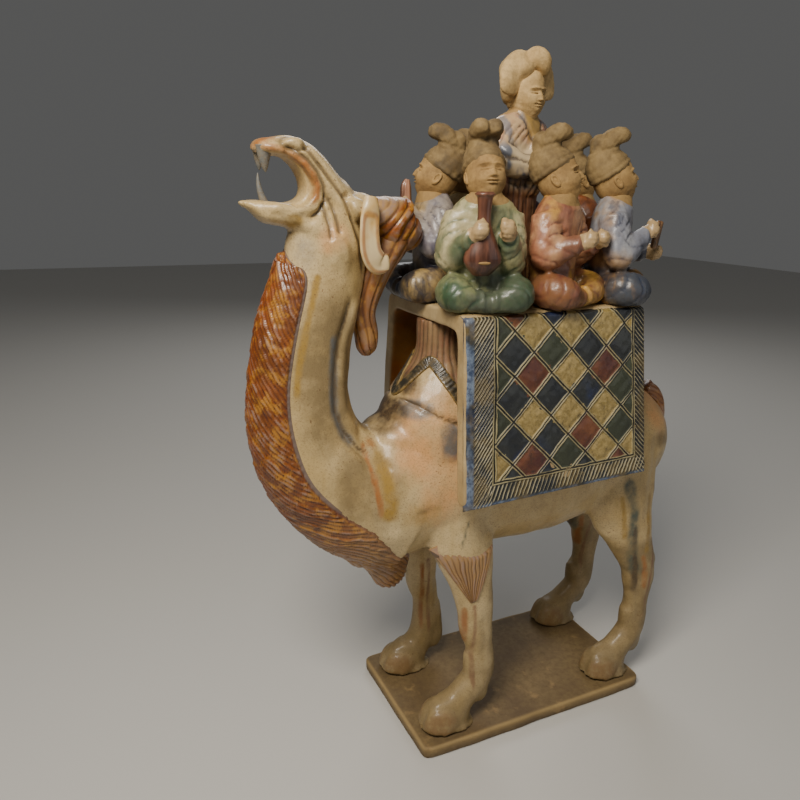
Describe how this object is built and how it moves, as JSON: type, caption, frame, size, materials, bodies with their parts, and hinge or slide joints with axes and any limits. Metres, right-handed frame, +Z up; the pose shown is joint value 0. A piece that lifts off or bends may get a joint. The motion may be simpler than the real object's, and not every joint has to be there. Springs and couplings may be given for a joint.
{
  "type": "sancai camel figure",
  "caption": "Glazed earthenware camel on a plinth, its humps carrying a blanket-hung platform with seated musicians around a standing singer.",
  "frame": {"origin": "centre of the plinth's underside", "axes": "+Z up, -X the way the camel looks, -Y its left flank, which faces the viewer"},
  "size_m": [0.4245, 0.1739, 0.5803],
  "materials": {
    "plinth_clay": "unglazed buff clay",
    "camel_glaze": "glossy cream glaze with amber hair",
    "blanket_glaze": "glossy glaze, cream edges and coloured lozenges",
    "robe_blue": "glossy robe, matte clay head",
    "robe_green": "glossy robe, matte clay head",
    "robe_amber": "glossy robe, matte clay head",
    "robe_grey": "glossy robe, matte clay head",
    "robe_brown": "glossy robe, matte clay head",
    "robe_plum": "glossy robe, matte clay head",
    "robe_cream": "glossy robe, matte clay head",
    "robe_rose": "glossy robe, matte clay head"
  },
  "bodies": {
    "root": {"plinth": "plinth_clay", "camel": "camel_glaze", "platform": "blanket_glaze", "musician_mouth_organ": "robe_blue", "musician_lute": "robe_green", "musician_flute": "robe_amber", "musician_clappers": "robe_grey", "musician_drum": "robe_brown", "musician_pipe": "robe_plum", "musician_harp": "robe_cream", "singer": "robe_rose"}
  },
  "joints": []
}
